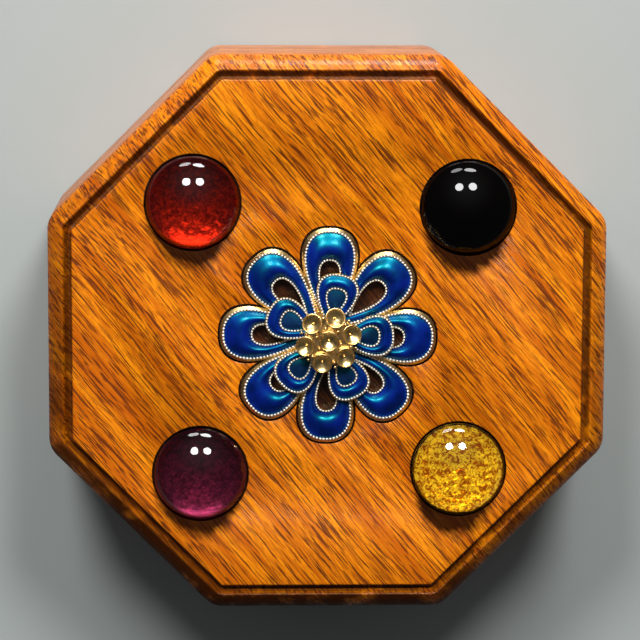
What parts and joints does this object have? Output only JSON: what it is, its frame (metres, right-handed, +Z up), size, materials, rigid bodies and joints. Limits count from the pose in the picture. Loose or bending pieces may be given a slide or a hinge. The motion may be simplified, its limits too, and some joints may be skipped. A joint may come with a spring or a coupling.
{
  "type": "trinket box",
  "caption": "Eight-sided hollow wooden box with a lift-off lid, domed glass stones in the lid's corners and a layered enamelled metal flower in its middle",
  "frame": {"origin": "middle of the underside", "axes": "+Z up through the lid, +X and +Y across two pairs of the eight flat sides, with the red stone towards -X +Y"},
  "size_m": [0.12, 0.12, 0.0525],
  "materials": {
    "wood": "gloss",
    "gilt_metal": "polished",
    "blue_enamel": "gloss",
    "teal_enamel": "gloss",
    "red_glass": "polished",
    "black_glass": "polished",
    "purple_glass": "polished",
    "amber_glass": "polished"
  },
  "bodies": {
    "root": {"base": "wood", "lid": "wood", "red_stone": "red_glass", "black_stone": "black_glass", "purple_stone": "purple_glass", "amber_stone": "amber_glass", "outer_petals": "gilt_metal", "outer_enamel_1": "blue_enamel", "outer_enamel_2": "blue_enamel", "outer_enamel_3": "blue_enamel", "outer_enamel_4": "blue_enamel", "outer_enamel_5": "blue_enamel", "outer_enamel_6": "blue_enamel", "outer_enamel_7": "blue_enamel", "outer_enamel_8": "blue_enamel", "inner_petals": "gilt_metal", "inner_enamel_1": "blue_enamel", "inner_enamel_2": "blue_enamel", "inner_enamel_3": "blue_enamel", "inner_enamel_4": "blue_enamel", "inner_enamel_5": "blue_enamel", "eye_enamel_1": "teal_enamel", "eye_enamel_2": "teal_enamel", "eye_enamel_3": "teal_enamel", "eye_enamel_4": "teal_enamel", "eye_enamel_5": "teal_enamel", "cup_cluster": "gilt_metal"}
  },
  "joints": []
}
